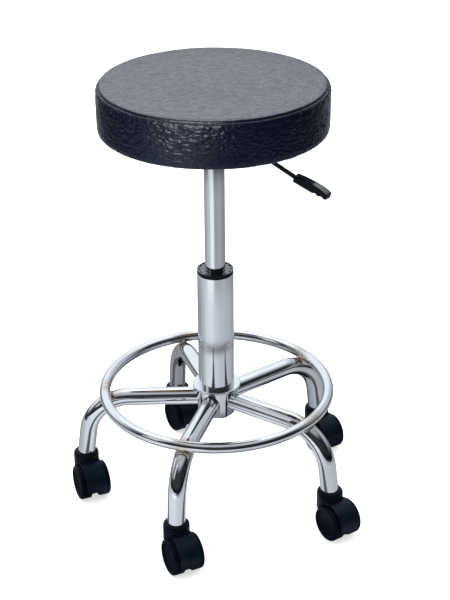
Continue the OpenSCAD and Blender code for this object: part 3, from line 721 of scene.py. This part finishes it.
PAPER_BRIGHTNESS = 1.3
FLOOR_R = 9.0


def make_floor():
    bm = bmesh.new()
    bmesh.ops.create_circle(bm, cap_ends=True, radius=FLOOR_R, segments=96)
    graph = Graph("floor_paper")
    tone = graph.remap(graph.noise(0.5, 3.0), 0.3, 0.7, 0.0, 1.0)
    graph.set(Base_Color=graph.blend(tone, (0.88, 0.88, 0.885), (0.90, 0.90, 0.90)), Roughness=0.85,
              Emission_Color=(1.0, 1.0, 1.0, 1.0), Emission_Strength=0.6)
    new_piece("floor", bm, graph.material, smooth=False)


def soft_steps(graph, value, stops):
    """A smooth ramp through (position, grey) stops, for a value from 0 to 1."""
    ramp = graph.node("ShaderNodeValToRGB")
    graph.link(value, ramp.inputs["Fac"])
    ramp.color_ramp.interpolation = "EASE"
    elements = ramp.color_ramp.elements
    while len(elements) < len(stops):
        elements.new(0.5)
    for element, (position, grey) in zip(elements, stops):
        element.position = position
        element.color = (*(grey * part for part in CARD_TINT), 1.0)
    return ramp.outputs["Color"]


def make_reflected_floor():
    """What glossy surfaces see of the studio floor: bands of light and shade round the stool, as black
    and white cards laid out of view give. Camera and diffuse rays don't meet it."""
    bm = bmesh.new()
    place = Matrix.Translation((0, 0, -MM))
    bmesh.ops.create_circle(bm, cap_ends=True, radius=FLOOR_R, segments=96, matrix=place)
    graph = Graph("reflected_floor")
    split = graph.node("ShaderNodeSeparateXYZ")
    graph.link(graph.place, split.inputs["Vector"])
    x, y = split.outputs["X"], split.outputs["Y"]
    heading = graph.math("ARCTAN2", x, graph.math("MULTIPLY", y, -1.0))
    share = graph.remap(heading, -math.pi, math.pi, 0.0, 1.0)
    near, middle, far = (soft_steps(graph, share, cards)
                         for cards in (NEAR_CARDS, MIDDLE_CARDS, FAR_CARDS))
    distance = length_of(graph, x, y)
    shade = graph.math("MULTIPLY", graph.remap(distance, 0.15, 0.18, 0.0, 1.0, smooth=True),
                       graph.remap(distance, 0.235, 0.265, 1.0, 0.0, smooth=True))
    near = graph.blend(shade, near, SHADE_UNDER)
    seen = graph.blend(graph.remap(distance, 0.60, 0.74, 0.0, 1.0, smooth=True), near, middle)
    seen = graph.blend(graph.remap(distance, 1.16, 1.28, 0.0, 1.0, smooth=True), seen, far)
    graph.set(
        Base_Color=(0.0, 0.0, 0.0, 1.0),
        Roughness=1.0,
        Specular_IOR_Level=0.0,
        Emission_Color=seen,
        Emission_Strength=1.0,
    )
    card = new_piece("reflected_floor", bm, graph.material, smooth=False)
    card.visible_camera = False
    card.visible_diffuse = False
    card.visible_shadow = False
    card.visible_transmission = False
    card.location.z = 2 * MM


def make_world():
    """Pale surround that is brighter behind the stool, with a darker band along the horizon."""
    world = bpy.data.worlds.new("studio")
    bpy.context.scene.world = world
    world.use_nodes = True
    tree = world.node_tree
    back = tree.nodes["Background"]
    coords = tree.nodes.new("ShaderNodeTexCoord")
    split = tree.nodes.new("ShaderNodeSeparateXYZ")
    tree.links.new(coords.outputs["Generated"], split.inputs["Vector"])

    def ramp(source, *stops):
        made = tree.nodes.new("ShaderNodeMapRange")
        made.interpolation_type = "SMOOTHSTEP"
        tree.links.new(source, made.inputs["Value"])
        for socket, value in zip(("From Min", "From Max", "To Min", "To Max"), stops):
            made.inputs[socket].default_value = value
        return made.outputs["Result"]

    def combined(operation, a, b):
        made = tree.nodes.new("ShaderNodeMath")
        made.operation = operation
        tree.links.new(a, made.inputs[0])
        tree.links.new(b, made.inputs[1])
        return made.outputs["Value"]

    front_to_back = ramp(split.outputs["Y"], -0.25, 0.6, 0.04, 1.08)
    above_horizon = ramp(split.outputs["Z"], 0.02, 0.17, 0.10, 1.0)
    overhead = ramp(split.outputs["Z"], 0.62, 0.9, 0.0, 0.55)
    to_right = ramp(split.outputs["X"], 0.05, 0.55, 1.0, 0.6)
    strength = combined("MULTIPLY", combined("MULTIPLY", front_to_back, above_horizon), to_right)
    strength = combined("ADD", strength, overhead)
    # behind the stool itself the picture shows plain pale paper in every direction
    paper = tree.nodes.new("ShaderNodeMix")
    tree.links.new(tree.nodes.new("ShaderNodeLightPath").outputs["Is Camera Ray"], paper.inputs["Factor"])
    tree.links.new(strength, paper.inputs["A"])
    paper.inputs["B"].default_value = PAPER_BRIGHTNESS
    strength = paper.outputs["Result"]
    tree.links.new(strength, back.inputs["Strength"])
    back.inputs["Color"].default_value = (*CARD_TINT, 1.0)


def area_light(name, place, aim, size, power, color=(1.0, 1.0, 1.0)):
    data = bpy.data.lights.new(name, "AREA")
    data.shape = "RECTANGLE"
    data.size, data.size_y = size
    data.energy = power
    data.color = color
    light = bpy.data.objects.new(name, data)
    light.location = place
    light.rotation_euler = (Vector(aim) - Vector(place)).to_track_quat("-Z", "Y").to_euler()
    bpy.context.scene.collection.objects.link(light)
    return light


def light_only(light, piece):
    """Keeps a light to one piece, as a flagged lamp would be."""
    light.visible_camera = False
    lit = bpy.data.collections.new(light.name + "_lights")
    lit.objects.link(piece)
    light.light_linking.receiver_collection = lit


def make_lights():
    sky = bpy.data.lights.new("sky_dome", "SUN")
    sky.energy = 2.6
    sky.angle = math.radians(110)
    dome = bpy.data.objects.new("sky_dome", sky)
    dome.visible_glossy = False
    bpy.context.scene.collection.objects.link(dome)
    area_light("left_softbox", (-1.9, -0.9, 1.5), (0, 0, 0.3), (0.7, 1.4), 2, (0.95, 0.98, 1.0))
    seat_light = area_light("seat_softbox", (-0.8, -2.0, 1.15), (0, 0, 0.6), (1.7, 1.4), 74,
                            (1.0, 0.94, 0.86))
    light_only(seat_light, bpy.data.objects["seat_upholstery"])
    grip_light = area_light("grip_softbox", (0.1, -0.7, 1.9), (0.16, -0.1, 0.5), (0.8, 0.5), 4,
                            (0.94, 0.97, 1.0))
    light_only(grip_light, NODES["lever_grip"])


finish_cad_nodes()
foam_disc(upholstery())
make_camera()
make_floor()
make_reflected_floor()
make_world()
make_lights()
bpy.context.scene.view_settings.view_transform = "Standard"
